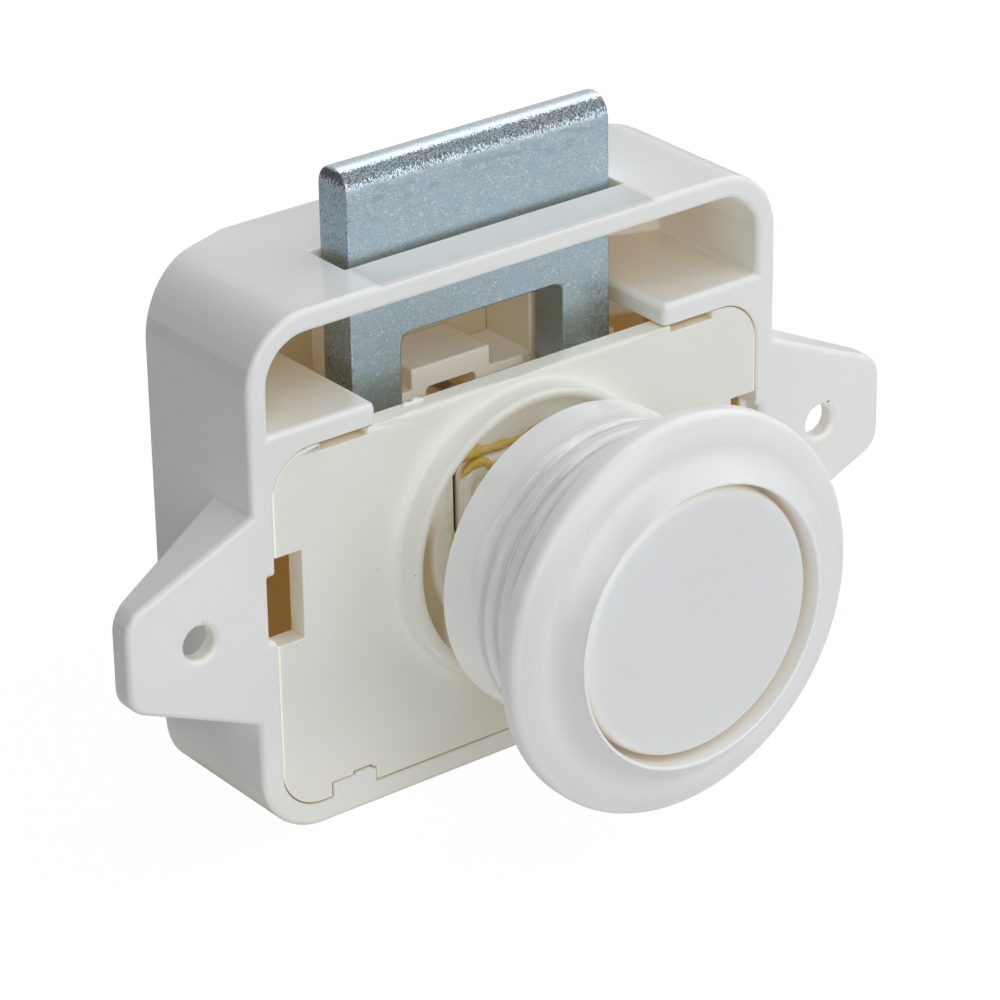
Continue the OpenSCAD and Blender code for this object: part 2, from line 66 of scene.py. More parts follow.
# Angles in degrees: faces are shaded as one surface up to the first, edges are rounded from the second on
CREASE = 32
SHARP = 40

# Painted light: glow of the plastic in a shallow, a deeper and the deepest hollow
CREAM_GLOW = (0.138, 0.146, 0.130)
AMBER_GLOW = (0.122, 0.100, 0.047)
DEEP_GLOW = (0.060, 0.032, 0.008)
BLACK = (0, 0, 0)

# Depth in millimetres of the plastic's grain
GRAIN_DEPTH = 0.003

# Lengths in millimetres of the barrel's plain rear part and of the part with ring grooves, and their number
BARREL_PLAIN = 3.85
BARREL_SPAN = 5.1
BARREL_WAVES = 3

# Camera fitted to the photograph: place in metres, turn in degrees, lens and sensor in millimetres
CAMERA_PLACE = (-0.185416, -0.239297, 0.150521)
CAMERA_TURN = (63.92127, 0.82740, -37.81047)
CAMERA_LENS = 159.383
CAMERA_SENSOR = 36.0

# Soft lamps: their directions from the lock, and their sizes and distance in metres
KEY_WAY = (0.52, -0.10, 0.85)
KEY_SIZE = 1.5
FRONT_WAY = (-0.18, -0.95, 0.14)
FRONT_SIZE = 1.4
LAMP_DISTANCE = 1.0
LAMP_COLOUR = (0.98, 0.998, 1.012)
AMBIENT_COLOUR = (1.0, 0.985, 0.965)

# What the camera sees of the floor: a white this strong, and this share of it against the shaded paper
FLOOR_WHITE = 1.014
FLOOR_SHARE = 0.965


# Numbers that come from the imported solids

def low(node):
    """Lowest corner of a node, in millimetres."""
    return np.array(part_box(node)[0]) / MM


def high(node):
    """Highest corner of a node, in millimetres."""
    return np.array(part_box(node)[1]) / MM


# Settings that a user would change

def colour(name, words, default):
    """Colour property in linear light."""
    return FloatVectorProperty(name=name, description=words, subtype="COLOR", size=3, min=0, max=1,
                               default=default)


def length(name, words, default):
    """Length property in metres."""
    return FloatProperty(name=name, description=words, subtype="DISTANCE", unit="LENGTH", min=0,
                         default=default)


class LockFinish(bpy.types.PropertyGroup):
    """Colours of the lock's surfaces."""

    case: colour("Case", "Cool white of the moulded case", (0.80, 0.805, 0.798))
    cover: colour("Cover", "Cream of the cover plate", (0.79, 0.785, 0.735))
    # Painted shade: the plastic's hollows turn towards this amber, by how occluded they are
    deep: colour("Deep plastic", "Amber where light is lost inside the plastic", (0.50, 0.35, 0.13))
    button: colour("Button", "White of the button", (0.715, 0.725, 0.73))
    rosette: colour("Rosette", "White of the rosette and the barrel", (0.745, 0.75, 0.75))
    zinc: colour("Zinc", "Blue grey of the plated bolt", (0.46, 0.56, 0.615))
    wire: colour("Wire", "Grey of the spring wire", (0.50, 0.49, 0.47))
    grease: colour("Grease", "Yellow of the grease", (0.74, 0.50, 0.08))


class LockDetail(bpy.types.PropertyGroup):
    """Sizes of the lock's small forms."""

    case_edge: length("Case edge", "Radius of the case's hidden and inner edges", 0.2 * MM)
    case_rim: length("Case rim", "Radius of the case's front rim, ears and shelves", 0.5 * MM)
    cover_edge: length("Cover edge", "Radius of the cover's edges", 0.1 * MM)
    cover_rim: length("Cover rim", "Radius of the cover's top edge", 0.55 * MM)
    bolt_edge: length("Bolt edge", "Radius of the bolt's edges", 0.16 * MM)
    slider_edge: length("Slider edge", "Radius of the slider's edges", 0.25 * MM)


class LockStage(bpy.types.PropertyGroup):
    """Light and floor of the picture."""

    ambient: FloatProperty(name="Ambient", description="Light from all round", min=0, default=0.055)
    key: FloatProperty(name="Key", description="Power of the lamp above", min=0, default=10.4, unit="POWER")
    front: FloatProperty(name="Front", description="Power of the lamp in front", min=0, default=10.9,
                         unit="POWER")
    floor: colour("Floor", "Colour of the floor", (0.85, 0.85, 0.85))


# Shader maths

class Flow:
    """Socket whose arithmetic adds Math nodes to its material."""

    def __init__(self, shader, socket):
        self.shader = shader
        self.socket = socket

    def math(self, operation, *values):
        """Math node on this socket and further values."""
        return self.shader.node("ShaderNodeMath", {"operation": operation}, dict(enumerate(values)))

    def __add__(self, other):
        return self.math("ADD", self, other)

    __radd__ = __add__

    def __mul__(self, other):
        return self.math("MULTIPLY", self, other)

    def __sub__(self, other):
        return self.math("SUBTRACT", self, other)

    def __rsub__(self, other):
        return self.math("SUBTRACT", other, self)

    def __abs__(self):
        return self.math("ABSOLUTE", self)

    def above(self, start, end):
        """0 below start, 1 above end and a smooth rise between them."""
        return self.shader.node("ShaderNodeMapRange", {"interpolation_type": "SMOOTHSTEP"},
                                {"Value": self, "From Min": start, "From Max": end})

    def within(self, start, end, soft):
        """1 between two values, with a smooth rise and fall outside them."""
        return self.above(start - soft, start) * (1 - self.above(end, end + soft))


class Shader:
    """Material under construction."""

    def __init__(self, name):
        self.material = bpy.data.materials.new(name)
        self.material.use_nodes = True
        self.tree = self.material.node_tree
        self.tree.nodes.clear()
        self.place = self.node("ShaderNodeTexCoord", out="Object")

    def node(self, kind, settings=None, inputs=None, out=0):
        """New node with its settings and the values or links of its sockets; gives one output."""
        made = self.tree.nodes.new(kind)
        for key, value in (settings or {}).items():
            setattr(made, key, value)
        for key, value in (inputs or {}).items():
            socket = made.inputs[key]
            if isinstance(value, Flow):
                self.tree.links.new(value.socket, socket)
            elif hasattr(socket.default_value, "__len__") and len(socket.default_value) == 4:
                socket.default_value = (*value, 1)
            else:
                socket.default_value = value
        return Flow(self, made.outputs[out]) if made.outputs else None

    def axis(self, letter):
        """One Object coordinate in millimetres."""
        return self.node("ShaderNodeSeparateXYZ", inputs={0: self.place}, out=letter) * (1 / MM)

    def scaled(self, x, y, z):
        """Object coordinates stretched along the axes, in millimetres."""
        stretch = (x / MM, y / MM, z / MM)
        return self.node("ShaderNodeMapping", inputs={"Vector": self.place, "Scale": stretch})

    def noise(self, size, detail=2.0, rough=0.5, where=None):
        """Smooth noise whose features are about one size in millimetres; 0 to 1."""
        vector = where if where else self.scaled(1, 1, 1)
        return self.node("ShaderNodeTexNoise", inputs={
            "Vector": vector, "Scale": 1 / size, "Detail": detail, "Roughness": rough})

    def cells(self, size, out="Distance"):
        """Voronoi cells about one size in millimetres."""
        return self.node("ShaderNodeTexVoronoi", inputs={"Vector": self.scaled(1, 1, 1), "Scale": 1 / size},
                         out=out)

    def chance(self, size):
        """Random value from 0 to 1 for each cell of about one size in millimetres."""
        return self.node("ShaderNodeSeparateColor", inputs={0: self.cells(size, "Color")})

    def mix(self, amount, a, b):
        """Colour between two colours."""
        return self.node("ShaderNodeMix", {"data_type": "RGBA"}, {0: amount, 6: a, 7: b}, out=2)

    def occluded(self, reach):
        """1 deep in a hollow, 0 in the open, for a reach in millimetres."""
        return 1 - self.node("ShaderNodeAmbientOcclusion", {"samples": 2}, {"Distance": reach * MM}, out=1)

    def bump(self, height, depth):
        """Normal of a height field of a depth in millimetres."""
        return self.node("ShaderNodeBump", inputs={"Height": height, "Distance": depth * MM, "Strength": 1.0})

    def finish(self, **sockets):
        """Ends the material with a Principled surface, its sockets named in words, and gives the material."""
        names = {key.replace("_", " ").title(): value for key, value in sockets.items()}
        surface = self.node("ShaderNodeBsdfPrincipled", inputs=names)
        self.node("ShaderNodeOutputMaterial", inputs={"Surface": surface})
        return self.material


def shade(tint, *factors):
    """Colour times one factor, or one for each channel."""
    factors = factors if len(factors) == 3 else factors * 3
    return tuple(min(1.0, c * k) for c, k in zip(tint, factors))


def plastic(name, tint, deep, rough, reach=12.0, marks=None):
    """Moulded plastic: faint clouds, few dark specks, a fine grain.

    Hollows are painted in amber shade and glow faintly as painted light, in place of the light that
    would come through their walls, cream at first and amber deep inside. marks, if given, changes base
    colour, glow, roughness and height for one piece."""
    s = Shader(name)
    cloud = s.noise(6.0, 3.0)
    grain = s.noise(0.22, 2.0)
    speck = (1 - s.cells(1.7).above(0.02, 0.045)) * s.noise(3.1).above(0.62, 0.66)
    lost = s.occluded(reach)
    base = s.mix(cloud.above(0.3, 0.7), tint, shade(tint, 0.985, 0.978, 0.965))
    # Painted shade: the base turns towards the deep amber in hollows
    base = s.mix(lost.above(0.55, 1.0) * 0.5, base, deep)
    base = s.mix(speck * 0.6, base, (0.12, 0.11, 0.10))
    # Painted light: a glow that stands in for light through the walls, stronger in deeper hollows
    glow = s.mix(lost.above(0.10, 0.50), BLACK, CREAM_GLOW)
    glow = s.mix(lost.above(0.50, 0.80), glow, AMBER_GLOW)
    glow = s.mix(lost.above(0.80, 1.00), glow, DEEP_GLOW)
    gloss = rough + (cloud - 0.5) * 0.08 + (grain - 0.5) * 0.03
    height = grain + cloud * 0.6
    if marks:
        base, glow, gloss, height = marks(s, base, glow, gloss, height)
    relief = s.bump(height, GRAIN_DEPTH)
    return s.finish(base_color=base, roughness=gloss, normal=relief, emission_color=glow,
                    emission_strength=1.0)


def case_marks(s, base, glow, gloss, height):
    """Parting lines beside the bolt's slot, nicks along the top rim, and a raised line from the moulding on
    the sides, painted lighter as a highlight.

    The room behind the cover and the pocket's back walls are painted amber shade with a faint glow, because
    little light reaches them. The block behind the bolt's window is painted as lit, with a glow, and the
    strip in front of the bolt is painted darker as the shade the bolt casts on it."""
    x, y, z = s.axis("X"), s.axis("Y"), s.axis("Z")
    out = abs(x)
    rim, side = 23.4, 24.9
    line, line_end = 13.08, 4.2
    mould_line, mould_front, mould_rear = 20.17, 2.0, 11.0
    top = z.above(rim, rim + 0.1)
    parting = out.within(line, line + 0.06, 0.04) * top * (1 - y.above(line_end, line_end + 0.1))
    # A raised line on the sides, painted lighter as a highlight along it
    raised_line_and_highlight = z.within(mould_line, mould_line + 0.08, 0.05) * out.above(side, side + 0.05)
    raised_line_and_highlight = raised_line_and_highlight * y.within(mould_front, mould_rear, 1.2)
    nick = (1 - s.cells(0.9).above(0.05, 0.10)) * top * (1 - y.above(0.4, 0.8)) * x.above(7.0, 9.0)
    # Room behind the cover, seen through its two cut-outs, up to the sloped and the flat part of the back
    slope, slope_reach, flat = 0.362, 21.2, 15.2
    room_front, room_half, room_low, room_high = 2.0, 23.2, -16.8, 7.5
    back = (1 - (y + out * slope).above(slope_reach, slope_reach + 0.2)) * (1 - y.above(flat, flat + 0.2))
    room = back * y.above(room_front, room_front + 0.4) * (1 - out.above(room_half, room_half + 0.2))
    room = room * z.within(room_low, room_high, 0.5)
    # Painted shade and painted light: amber base and a faint glow where little light reaches
    base = s.mix(room * 0.85, base, (0.30, 0.17, 0.035))
    glow = s.mix(room, glow, (0.11, 0.06, 0.014))
    # Painted amber shade and glow on the back wall of the pocket and the side of one rib
    wall_front, wall_rear, wall_half, wall_low, wall_high = 14.6, 15.0, 16.4, 8.5, 22.6
    rib_side, rib_front = 7.66, 9.2
    tall = z.within(wall_low, wall_high, 0.6)
    rear = y.within(wall_front, wall_rear, 0.1) * back * tall * (1 - out.above(wall_half, wall_half + 0.4))
    rib = x.within(rib_side, rib_side + 0.08, 0.03) * y.within(rib_front, wall_front, 0.2) * tall
    base = s.mix(rear * 0.6 + rib * 0.35, base, (0.42, 0.28, 0.09))
    glow = s.mix(rear * 0.6 + rib * 0.5, glow, (0.070, 0.052, 0.020))
    # Painted light on the front of the block behind the window
    block_front, block_half, block_low, block_high = 9.06, 6.8, 8.8, 12.6
    block = y.within(block_front, block_front + 0.08, 0.03) * (1 - out.above(block_half, block_half + 0.2))
    block = block * z.within(block_low, block_high, 0.2)
    glow = s.mix(block * 0.8, glow, (0.215, 0.210, 0.185))
    # Painted shade on the strip in front of the bolt, where the bolt keeps light off it
    strip_half, strip_rear = 12.8, 4.8
    strip_shade = top * (1 - out.above(strip_half, strip_half + 0.2)) * (1 - y.above(strip_rear, strip_rear + 0.1))
    base = s.mix(strip_shade * 0.48, base, (0.32, 0.325, 0.325))
    base = s.mix(parting * 0.30, base, (0.42, 0.41, 0.40))
    base = s.mix(raised_line_and_highlight * 0.40, base, (0.95, 0.95, 0.95))
    base = s.mix(nick * 0.7, base, (0.25, 0.24, 0.22))
    return base, glow, gloss, height + raised_line_and_highlight * 4.0 - parting * 6.0 - nick * 5.0


def cover_marks(s, base, glow, gloss, height):
    """A film of grease round the slider's opening, a few dark crumbs, painted light in the seam at the sides.

    The well inside the collar's wall is painted in deep shade, with a faint glow, on the left."""
    x, y, z = s.axis("X"), s.axis("Y"), s.axis("Z")
    opening_x, opening_z, fade = 6.9, 7.8, 0.7
    seam_start, seam_full = 22.9, 23.05
    inside = (1 - abs(x).above(opening_x, opening_x + fade)) * (1 - abs(z).above(opening_z, opening_z + fade))
    film = inside * y.above(0.0, 0.1) * s.noise(1.2, 3.0).above(0.42, 0.66)
    crumb = (1 - s.cells(2.3).above(0.022, 0.040)) * s.noise(4.0).above(0.5, 0.55)
    seam = abs(x).above(seam_start, seam_full)
    base = s.mix(film * 0.55, base, (0.66, 0.50, 0.17))
    # Painted light: the seam at the sides glows pale
    glow = s.mix(seam * 0.8, glow, (0.30, 0.285, 0.235))
    # The well, between two squared radii, painted in deep shade
    well_inner, well_outer, well_fade = 84.0, 126.0, 12.0
    well_left, well_right, well_low, well_high = -8.2, -6.9, -7.0, 1.0
    well = (x * x + z * z).within(well_inner, well_outer, well_fade) * (1 - x.above(well_left, well_right))
    well = well * y.above(-1.7, -0.9) * z.within(well_low, well_high, 3.0)
    base = s.mix(well * 0.75, base, (0.36, 0.26, 0.10))
    glow = s.mix(well * 0.8, glow, (0.055, 0.038, 0.012))
    base = s.mix(crumb * 0.7, base, (0.10, 0.09, 0.08))
    return base, glow, gloss - film * 0.12, height


def slider_marks(s, base, glow, gloss, height):
    """Yellow grease smeared along the slider's edges, and painted shade that makes a dark slit on its left.
    """
    x, y, z = s.axis("X"), s.axis("Y"), s.axis("Z")
    edge = abs(x).above(5.2, 6.2) + abs(z).above(6.0, 7.1)
    film = edge * s.noise(1.3, 3.0).above(0.48, 0.72)
    base = s.mix(film * 0.4, base, (0.70, 0.56, 0.22))
    # Painted shade: a dark slit on the left, with no glow
    slit_left, slit_right, slit_low, slit_high = -6.28, -6.12, 1.6, 6.0
    slit = (1 - x.above(slit_left, slit_right)) * y.above(0.25, 0.6) * z.within(slit_low, slit_high, 0.9)
    base = s.mix(slit * 0.92, base, (0.05, 0.042, 0.018))
    glow = s.mix(slit * 0.95, glow, BLACK)
    return base, glow, gloss - film * 0.1, height + film * 2.0


def barrel_marks(s, base, glow, gloss, height):
    """Thin bright streaks round the barrel, most of them on its grooves: scuffs and painted highlights.

    The upper front is greyer, the grooves are darkened as painted shade and dirt, and the rest glows faintly
    as painted light.
    """
    x, y, z = s.axis("X"), s.axis("Y"), s.axis("Z")
    turn = x.math("ARCTAN2", x, z)
    long = s.node("ShaderNodeCombineXYZ", inputs={0: turn * 1.5, 1: y * 1.1})
    thin = s.node("ShaderNodeCombineXYZ", inputs={0: turn * 2.2, 1: y * 7.0, 2: 4.0})
    smear = s.noise(1.0, 3.0, where=long)
    thread = s.noise(1.0, 2.0, where=thin)
    zone = (1 - y.above(-9.4, -8.4)) * z.above(0.0, 6.0)
    scuff_and_highlight = zone * (smear.above(0.55, 0.61) * 0.4 + thread.above(0.62, 0.67))
    pitch, half = BARREL_SPAN / BARREL_WAVES, 0.15
    first = float(high("barrel")[1]) - BARREL_PLAIN - pitch / 2
    middles = [first - k * pitch for k in range(BARREL_WAVES)]
    groove = sum(y.within(middle - half, middle + half, 0.4) for middle in middles)
    # Painted shade, with some dirt, darkens the grooves; elsewhere the barrel glows faintly as painted light
    base = s.mix(groove * 0.35, base, (0.52, 0.52, 0.51))
    glow = s.mix(1 - groove * 0.5, glow, (0.10, 0.10, 0.098))
    # Greyer on the upper front; the streaks there are scuffs and painted highlights, whiter and glowing
    base = s.mix(zone * 0.35, base, (0.58, 0.59, 0.60))
    base = s.mix(scuff_and_highlight * 0.8, base, (0.97, 0.98, 1.0))
    glow = s.mix(scuff_and_highlight * 0.6, glow, (0.18, 0.18, 0.18))
    return base, glow, gloss + scuff_and_highlight * 0.10, height + scuff_and_highlight * 2.0


def rosette_marks(s, base, glow, gloss, height):
    """Painted light: a faint glow on the throat's wall and the thin outer edge, next to none on the face
    between them.
    """
    x, y, z = s.axis("X"), s.axis("Y"), s.axis("Z")
    # The lip lies between these squared radii
    lip_start, lip_end = 126.0, 129.0
    face = (x * x + z * z).above(lip_start, lip_end)
    edge = y.above(-19.1, -18.5)
    base = s.mix((1 - face) * 0.6, base, (0.70, 0.70, 0.69))
    # Painted light on the throat's wall and the outer edge
    glow = s.mix(face * 0.9, s.mix(0.6, glow, (0.17, 0.168, 0.16)), BLACK)
    glow = s.mix(edge * 0.9, glow, (0.11, 0.11, 0.107))
    return base, glow, gloss, height


def zinc_plate(name, tint, nose, half, window_x, window_z):
    """Zinc plated steel: sparkling crystals, blue and grey patches, cut faces darker as bare steel and
    painted shade, a nose with wear and painted reflections.

    The nose's top has wear and is painted bright as a highlight; under it a scratched band is painted dark as
    a reflection, with painted glints; nicks follow the side edges."""
    s = Shader(name)
    side, z = s.axis("X"), s.axis("Z")
    x = abs(side)
    crystal = s.chance(0.15)
    fine = s.noise(0.14, 2.0, 0.6).above(0.30, 0.70)
    patch = s.noise(2.6, 3.0)
    soot = s.noise(1.3, 4.0, 0.65)
    tone = s.mix(crystal * 0.35 + fine * 0.65, shade(tint, 0.72, 0.725, 0.73), shade(tint, 1.25, 1.24, 1.23))
    tone = s.mix(patch.above(0.45, 0.70) * 0.5, tone, shade(tint, 0.86, 1.0, 1.10))
    tone = s.mix(soot.above(0.56, 0.75) * fine.above(0.4, 0.8) * 0.5, tone, shade(tint, 0.55, 0.53, 0.50))
    tone = s.mix(crystal.above(0.95, 0.99) * 0.35, tone, (0.88, 0.92, 0.95))
    # Soot low on the right leg
    leg_start, leg_full, low_full, low_end = 8.6, 11.2, 15.2, 17.6
    smut = side.above(leg_start, leg_full) * (1 - z.above(low_full, low_end))
    smut = smut * s.noise(0.30, 3.0, 0.7).above(0.40, 0.62)
    tone = s.mix(smut * 0.6, tone, shade(tint, 0.50, 0.46, 0.42))
    # Faces cut by the press, darker as bare steel and as painted shade: both sides and the inside of the
    # window
    edge = x.above(half - 0.06, half - 0.02)
    inner = (1 - x.above(window_x - 0.01, window_x + 0.03)) * (1 - z.above(window_z - 0.03, window_z + 0.01))
    tone = s.mix(edge * 0.30 + inner * 0.45, tone, shade(tint, 0.30, 0.31, 0.34))
    # Nicks along the side edges
    nick = x.above(half - 0.40, half - 0.12) * s.noise(0.19, 2.0).above(0.57, 0.64)
    tone = s.mix(nick * 0.6, tone, (0.09, 0.085, 0.08))
    # Nose with wear and scratches, painted bright on top as a highlight and dark below as a reflection
    streak = s.noise(0.10, 3.0, 0.7, where=s.scaled(1.0, 0.5, 0.45)).above(0.32, 0.68)
    fall = nose - z
    wear_and_highlight = 1 - (fall + streak * 0.16).above(0.16, 0.36)
    band = fall.above(0.12, 0.42) * (1 - fall.above(0.45, 1.75))
    grit = s.noise(0.15, 2.0, 0.6).above(0.42, 0.58)
    dirt_and_dark_reflection = (streak + band).above(0.68, 1.04)
    rub_and_reflection = band.above(0.02, 0.20)
    # Painted glints in the band, then a painted dark reflection with grit
    tone = s.mix(rub_and_reflection * (1 - dirt_and_dark_reflection) * 0.30, tone, (0.80, 0.86, 0.90))
    tone = s.mix(rub_and_reflection * dirt_and_dark_reflection * (0.72 + grit * 0.24), tone, (0.045, 0.048, 0.053))
    # Painted highlight on the top, with wear
    tone = s.mix(wear_and_highlight * (0.20 + streak * 0.75), tone, (0.34, 0.36, 0.375))
    smear = s.noise(1.0, 3.0, where=s.scaled(0.5, 1.0, 1.7)).above(0.48, 0.64) * fall.within(1.3, 2.8, 1.0)
    tone = s.mix(smear * fine * 0.45, tone, (0.22, 0.20, 0.17))
    gloss = 0.36 + (fine - 0.5) * 0.1 - wear_and_highlight * 0.10 + rub_and_reflection * 0.08
    relief = crystal * 0.5 + fine * 0.3 + (rub_and_reflection + wear_and_highlight) * streak * 0.8
    return s.finish(base_color=tone, metallic=1.0, roughness=gloss, normal=s.bump(relief, 0.008))


def drawn_wire(name, tint):
    """Drawn steel wire with faint marks and a film of grease."""
    s = Shader(name)
    mark = s.noise(0.3, 2.0)
    film = s.noise(2.0).above(0.45, 0.7)
    base = s.mix(film * 0.5, s.mix(mark, shade(tint, 0.8), tint), (0.42, 0.33, 0.16))
    return s.finish(base_color=base, metallic=1.0, roughness=0.32 + mark * 0.15, normal=s.bump(mark, 0.004))


def yellow_grease(name, tint):
    """Thick yellow grease, glossy and uneven."""
    s = Shader(name)
    lump = s.noise(0.4, 2.0)
    thin = s.noise(1.1, 2.0)
    base = s.mix(thin.above(0.40, 0.70), tint, (0.78, 0.57, 0.17))
    return s.finish(base_color=base, roughness=0.18 + lump * 0.15, normal=s.bump(lump, 0.05))


# Surfaces on grids

def grid_quads(rows, cols, close_rows):
    """Quads between the points of a grid whose columns close on themselves."""
    i = np.arange(rows if close_rows else rows - 1)[:, None]
    j = np.arange(cols)[None, :]
    right, down = (j + 1) % cols, (i + 1) % rows
    return np.stack([i * cols + j, i * cols + right, down * cols + right, down * cols + j], -1).reshape(-1, 4)


def piece(name, points, faces, body, slot, material, *nodes):
    """Object with points in millimetres that rides on a body, if one is given, and stands for some nodes."""
    mesh = bpy.data.meshes.new(name)
    mesh.from_pydata((np.asarray(points).reshape(-1, 3) * MM).tolist(), [], faces)
    shape = bmesh.new()
    shape.from_mesh(mesh)
    bmesh.ops.recalc_face_normals(shape, faces=shape.faces)
    shape.to_mesh(mesh)
    shape.free()
    return dress(bpy.data.objects.new(name, mesh), CREASE, body, slot, material, *nodes)


def dress(obj, crease, body, slot, material, *nodes):
    """Links an object, shades it smooth up to a crease angle, and says what it rides on and stands for."""
    bpy.context.scene.collection.objects.link(obj)
    obj.data.shade_smooth()
    obj.data.set_sharp_from_angle(angle=math.radians(crease))
    obj.data.materials.clear()
    obj.data.materials.append(material)
    if body:
        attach(obj, body)
    if nodes:
        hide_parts(*nodes)
    return obj


def turned_ring(profile, turns=256):
    """Closed outline (r, y) turned about Y: x = r sin a, z = r cos a. Gives points and quads."""
    r, y = np.asarray(profile, float).T[:, :, None]
    a = np.linspace(0, 2 * np.pi, turns, endpoint=False)
    points = np.stack([r * np.sin(a), y + 0 * a, r * np.cos(a)], -1)
    return points, grid_quads(len(profile), turns, True).tolist()


def turned_cup(profile, turns=192):
    """Outline (r, y) from axis to axis turned about Y, with a fan of triangles at each end."""
    profile = np.asarray(profile, float)
    points = turned_ring(profile[1:-1], turns)[0]
    rows = len(profile) - 2
    quads = grid_quads(rows, turns, False).tolist()
    j = np.arange(turns)
    first, last = rows * turns, rows * turns + 1
    near = np.stack([np.full(turns, first), (j + 1) % turns, j], -1).tolist()
    rim = (rows - 1) * turns
    far = np.stack([np.full(turns, last), rim + j, rim + (j + 1) % turns], -1).tolist()
    poles = np.array([[0, profile[0, 1], 0], [0, profile[-1, 1], 0]])
    return np.concatenate([points.reshape(-1, 3), poles]), quads + near + far


def tube(path, across, radius, sides):
    """Circle carried along a path: path + radius (cos b across + sin b up), up square to path and across.

    across is a unit vector square to the path at each point; radius is one number, or one for each point."""
    path, across = np.asarray(path, float), np.asarray(across, float)
    along = np.gradient(path, axis=0)
    along /= np.linalg.norm(along, axis=1, keepdims=True)
    up = np.cross(along, across)
    b = np.linspace(0, 2 * np.pi, sides, endpoint=False)[None, :, None]
    wide = np.broadcast_to(radius, len(path))[:, None, None]
    points = path[:, None] + wide * (np.cos(b) * across[:, None] + np.sin(b) * up[:, None])
    ends = [list(range(sides)), list(range((len(path) - 1) * sides, len(path) * sides))]
    return points, grid_quads(len(path), sides, False).tolist() + ends


def hoop(half_x, half_z, corner, depth, radius, sides=14):
    """Circle carried round a rectangle with round corners that lies across Y at one depth.

    Each point is path + radius cos b out, at y = depth + radius sin b."""
    a = np.radians(np.linspace(0, 90, 10))
    turn = np.stack([np.cos(a), np.sin(a)], -1)
    quarter = np.array([half_x - corner, half_z - corner]) + corner * turn
    mirror = np.array([[1, 1], [-1, 1], [-1, -1], [1, -1]])
    flip = [1, -1, 1, -1]
    path = np.concatenate([quarter[::k] * m for k, m in zip(flip, mirror)])
    out = np.concatenate([turn[::k] * m for k, m in zip(flip, mirror)])
    b = np.linspace(0, 2 * np.pi, sides, endpoint=False)
    ring = path[:, None] + radius * np.cos(b)[None, :, None] * out[:, None]
    y = np.broadcast_to(depth + radius * np.sin(b), ring.shape[:2])
    points = np.stack([ring[..., 0], y, ring[..., 1]], -1)
    return points, grid_quads(len(path), sides, True).tolist()


def bead(stations, depth, steps=60):
    """Lumpy bead in a plane across Y, at one depth, through stations (x, z, radius).

    x runs straight from station to station, z and radius ease by 3 p^2 - 2 p^3."""
    stations = np.asarray(stations, float)
    t = np.linspace(0, len(stations) - 1, steps)
    whole = np.minimum(t.astype(int), len(stations) - 2)
    part = t - whole
    ease = (part * part * (3 - 2 * part))[:, None]
    z, r = (stations[whole, 1:] * (1 - ease) + stations[whole + 1, 1:] * ease).T
    x = np.interp(t, np.arange(len(stations)), stations[:, 0])
    path = np.stack([x, np.full(steps, depth), z], -1)
    across = np.tile([0.0, -1.0, 0.0], (steps, 1))
    return tube(path, across, r, 12)


def arc(r, y, radius, start, end, steps=14):
    """Points (r, y) on a circle from one angle to another, in degrees, 0 towards +r and 90 to -y."""
    a = np.radians(np.linspace(start, end, steps))
    return np.stack([r + radius * np.cos(a), y - radius * np.sin(a)], -1)


def round_edges(obj, name, width, segments, limit):
    """Bevel that rounds the weighted edges, or those that are sharp."""
    made = obj.modifiers.new(name, "BEVEL")
    made.width = width
    made.segments = segments
    made.limit_method = limit
    made.angle_limit = math.radians(SHARP)
    made.use_clamp_overlap = False
    made.harden_normals = True


def edge_weights(mesh, soft):
    """Weights that soft gives to the edges from their ends in millimetres, 0 where two faces run on flat."""
    points = np.empty(len(mesh.vertices) * 3)
    mesh.vertices.foreach_get("co", points)
    pairs = np.empty(len(mesh.edges) * 2, int)
    mesh.edges.foreach_get("vertices", pairs)
    normals = np.empty(len(mesh.polygons) * 3)
    mesh.polygons.foreach_get("normal", normals)
    corners = np.empty(len(mesh.polygons), int)
    mesh.polygons.foreach_get("loop_total", corners)
    sides = np.empty(len(mesh.loops), int)
    mesh.loops.foreach_get("edge_index", sides)
    both = np.zeros((len(mesh.edges), 3))
    np.add.at(both, sides, np.repeat(normals.reshape(-1, 3), corners, axis=0))
    # Normals of two faces that run on flat add up to a length of nearly 2
    flat = 1.9
    bent = np.linalg.norm(both, axis=1) < flat
    return soft(points.reshape(-1, 3)[pairs.reshape(-1, 2)] / MM) * bent


def rounded_copy(node, edge, body, slot, material, soft=None, soft_edge=0.0, crease=CREASE, cuts=0):
    """Copy of a node with its triangles joined and its edges rounded; it stands for the node.

    soft gives each edge its share of the larger radius soft_edge; cuts first divides the edges it chose."""
    weld, flat = 2e-6, math.radians(0.5)
    mesh = NODES[node].data.copy()
    mesh.name = node + "_moulded"
    shape = bmesh.new()
    shape.from_mesh(mesh)
    bmesh.ops.remove_doubles(shape, verts=shape.verts, dist=weld)
    bmesh.ops.dissolve_limit(shape, angle_limit=flat, verts=shape.verts, edges=shape.edges)
    shape.to_mesh(mesh)
    if soft and cuts:
        shape.edges.ensure_lookup_table()
        chosen = np.flatnonzero(edge_weights(mesh, soft)).tolist()
        bmesh.ops.bisect_edges(shape, edges=[shape.edges[i] for i in chosen], cuts=cuts)
        shape.to_mesh(mesh)
    shape.free()
    obj = dress(bpy.data.objects.new(node + "_dressed", mesh), crease, body, slot, material, node)
    if soft:
        weight = mesh.attributes.new("bevel_weight_edge", "FLOAT", "EDGE")
        weight.data.foreach_set("value", edge_weights(mesh, soft).astype(np.float32))
        round_edges(obj, "soft_edges", soft_edge, 4, "WEIGHT")
    round_edges(obj, "edges", edge, 2, "ANGLE")


# Operators

